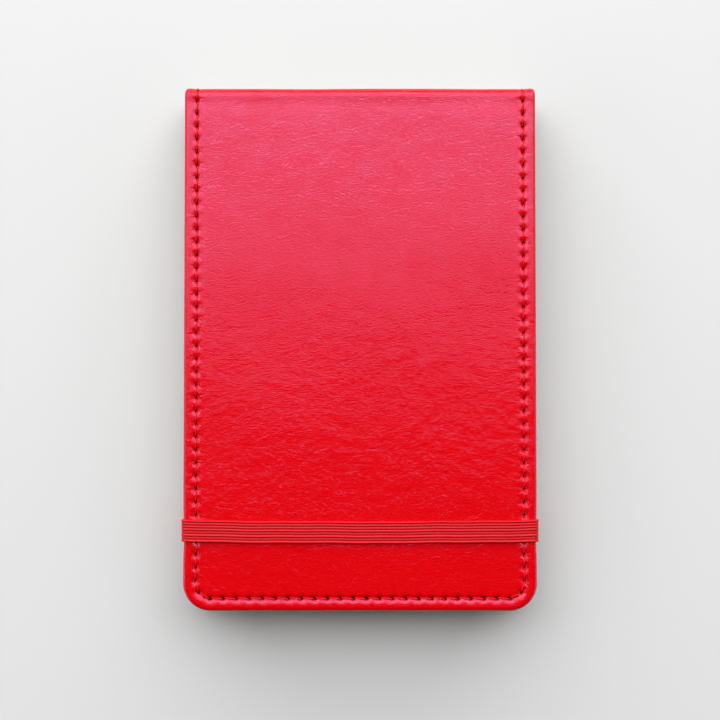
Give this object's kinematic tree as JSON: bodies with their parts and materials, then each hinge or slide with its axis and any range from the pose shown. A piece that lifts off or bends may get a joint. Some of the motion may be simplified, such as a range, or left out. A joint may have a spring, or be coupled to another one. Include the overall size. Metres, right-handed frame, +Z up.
{
  "type": "pocket notebook",
  "caption": "Top-hinged pocket notebook: a stitched leatherette cover with rounded foot corners flips up over a sewn paper block, held shut by a flat elastic band.",
  "frame": {"origin": "middle of the notebook's outline, on the surface its back cover lies on", "axes": "+X across the cover, +Y along the length towards the spine, +Z up out of the front cover"},
  "size_m": [0.0908, 0.133, 0.0156],
  "materials": {
    "leatherette": "grained, softly glossy red leatherette",
    "greyboard": "matt grey millboard",
    "lining": "smooth red lining, low sheen",
    "case_thread": "twisted polyester thread, red",
    "elastic": "ribbed woven elastic, red",
    "endpaper": "smooth ivory endpaper",
    "page_paper": "ivory writing paper, matt",
    "linen_thread": "natural linen sewing thread",
    "binding_glue": "dried animal-free binding glue",
    "mull_cloth": "open starched cotton cloth",
    "kraft_paper": "brown kraft paper"
  },
  "bodies": {
    "back_cover": {"back_skin": "leatherette", "back_board": "greyboard", "back_lining": "lining", "back_stitching": "case_thread", "elastic_end_left": "elastic", "elastic_end_right": "elastic", "back_pastedown": "endpaper", "back_flyleaf": "endpaper", "section_01_fold": "page_paper", "front_flyleaf_strip": "endpaper", "sewing_thread": "linen_thread", "spine_glue": "binding_glue", "mull": "mull_cloth", "spine_liner": "kraft_paper", "section_02": "page_paper", "section_03": "page_paper", "section_04": "page_paper", "section_05": "page_paper", "section_06": "page_paper", "section_07": "page_paper", "section_08": "page_paper", "section_09": "page_paper", "section_10": "page_paper", "section_11": "page_paper", "section_12": "page_paper"},
    "spine": {"spine_skin": "leatherette", "spine_card": "greyboard", "spine_lining": "lining", "spine_stitching": "case_thread"},
    "front_cover": {"front_skin": "leatherette", "front_board": "greyboard", "front_lining": "lining", "front_stitching": "case_thread"},
    "flyleaf": {"front_flyleaf": "endpaper"},
    "first_pages": {"section_01": "page_paper"},
    "elastic": {"elastic_band": "elastic"}
  },
  "joints": [
    {"name": "cover_open", "type": "hinge", "parent": "spine", "child": "front_cover", "pos_m": [0, 0.0654, 0.0138], "axis": [-1, 0, 0], "range_deg": [0, 90]},
    {"name": "spine_fold", "type": "hinge", "parent": "back_cover", "child": "spine", "pos_m": [0, 0.0654, 0.0011], "axis": [-1, 0, 0], "range_deg": [0, 90]},
    {"name": "flyleaf_turn", "type": "hinge", "parent": "back_cover", "child": "flyleaf", "pos_m": [0, 0.0572, 0.01255], "axis": [-1, 0, 0], "range_deg": [0, 172.8]},
    {"name": "first_pages_turn", "type": "hinge", "parent": "back_cover", "child": "first_pages", "pos_m": [0, 0.0552, 0.0122], "axis": [-1, 0, 0], "range_deg": [0, 162]},
    {"name": "elastic_pull", "type": "slide", "parent": "back_cover", "child": "elastic", "axis": [0, -1, 0], "range_m": [0, 0.026], "stiffness_N_per_m": 40, "deforming": ["elastic_band"]}
  ],
  "couplings": [
    {"joint": "spine_fold", "follows": "cover_open", "ratio": 1},
    {"joint": "flyleaf_turn", "follows": "cover_open", "ratio": 1.92},
    {"joint": "first_pages_turn", "follows": "cover_open", "ratio": 1.8}
  ]
}
